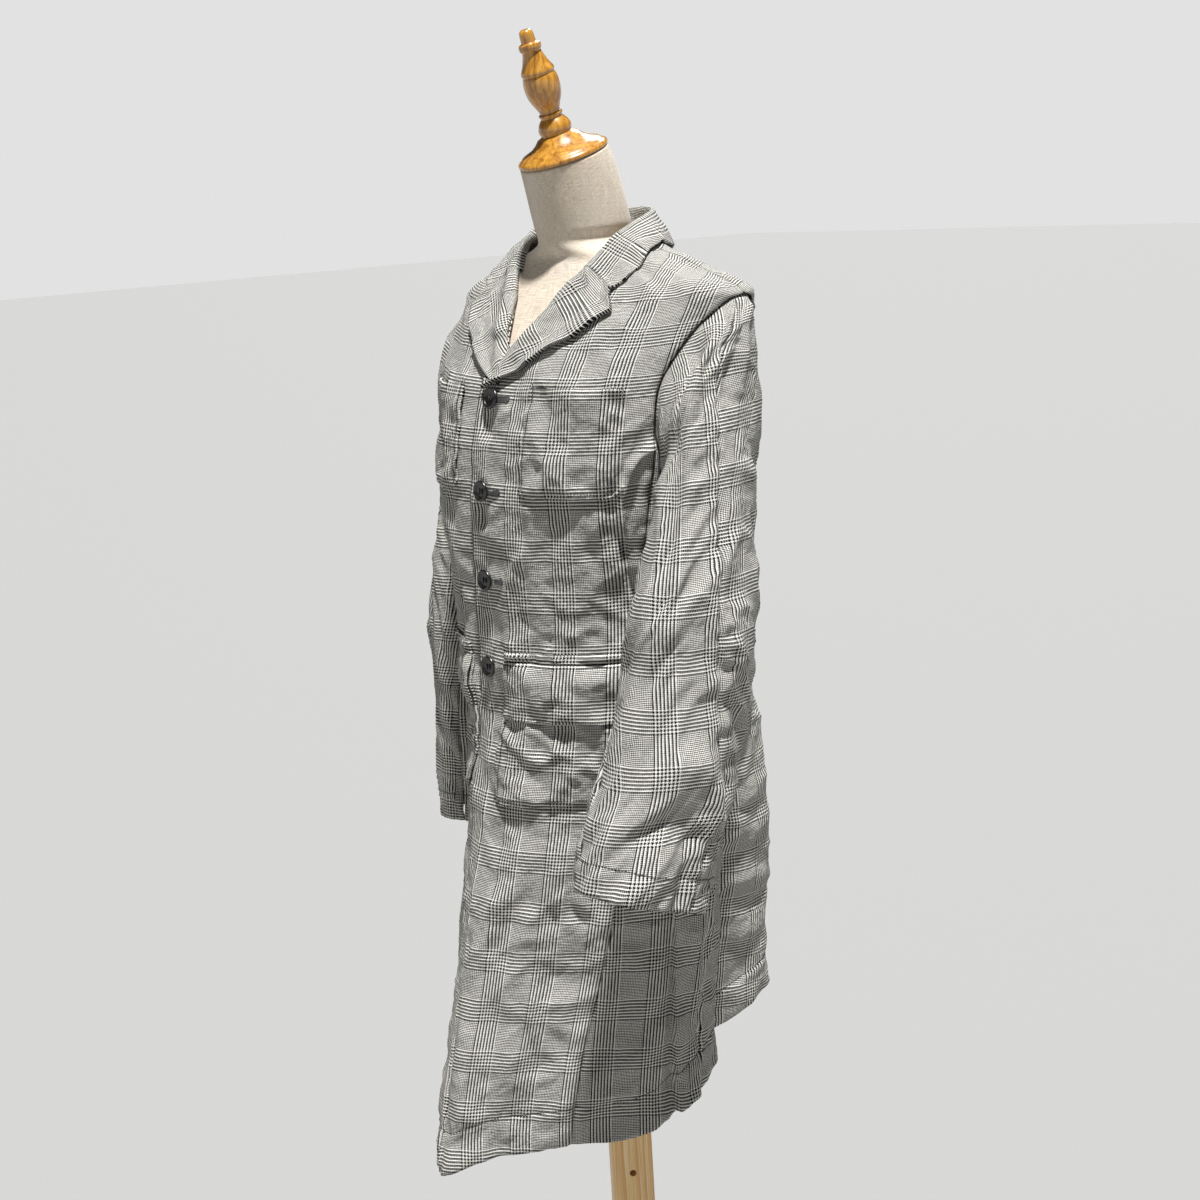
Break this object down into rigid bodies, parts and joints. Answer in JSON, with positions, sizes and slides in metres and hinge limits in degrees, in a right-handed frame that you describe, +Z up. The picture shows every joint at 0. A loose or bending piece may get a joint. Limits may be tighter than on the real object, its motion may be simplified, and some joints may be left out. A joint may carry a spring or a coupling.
{
  "type": "half coat on dress form",
  "caption": "Glen-check cotton-linen half coat with notched lapels, patch pockets and flaps, worn by a limbless linen dress form on a wooden post stand.",
  "frame": {"origin": "on the floor at the centre of the stand's foot", "axes": "+Z up; the coat's front faces -Y; the wearer's left side is +X"},
  "size_m": [0.511, 0.4365, 1.5769],
  "materials": {
    "glen_check_cotton_linen": "black and ivory 2/2 twill in a glen check, washed and puckered, matte",
    "dark_horn": "near-black horn, softly polished, four holes",
    "natural_linen": "natural slubbed linen stretched over the form, matte",
    "lacquered_wood": "turned honey-brown wood under clear lacquer",
    "pale_wood": "planed pale softwood, satin"
  },
  "bodies": {
    "root": {"front_left": "glen_check_cotton_linen", "front_right": "glen_check_cotton_linen", "side_left": "glen_check_cotton_linen", "side_right": "glen_check_cotton_linen", "back_left": "glen_check_cotton_linen", "back_right": "glen_check_cotton_linen", "lapel_left": "glen_check_cotton_linen", "lapel_right": "glen_check_cotton_linen", "collar": "glen_check_cotton_linen", "sleeve_left_top": "glen_check_cotton_linen", "sleeve_left_under": "glen_check_cotton_linen", "sleeve_right_top": "glen_check_cotton_linen", "sleeve_right_under": "glen_check_cotton_linen", "chest_pocket_left": "glen_check_cotton_linen", "chest_pocket_right": "glen_check_cotton_linen", "hip_pocket_left": "glen_check_cotton_linen", "hip_pocket_right": "glen_check_cotton_linen", "flap_left": "glen_check_cotton_linen", "flap_right": "glen_check_cotton_linen", "welt_left": "glen_check_cotton_linen", "welt_right": "glen_check_cotton_linen", "button_1": "dark_horn", "button_2": "dark_horn", "button_3": "dark_horn", "button_4": "dark_horn", "form_body": "natural_linen", "form_neck_cap": "lacquered_wood", "stand_post": "pale_wood", "stand_foot": "pale_wood"}
  },
  "joints": []
}
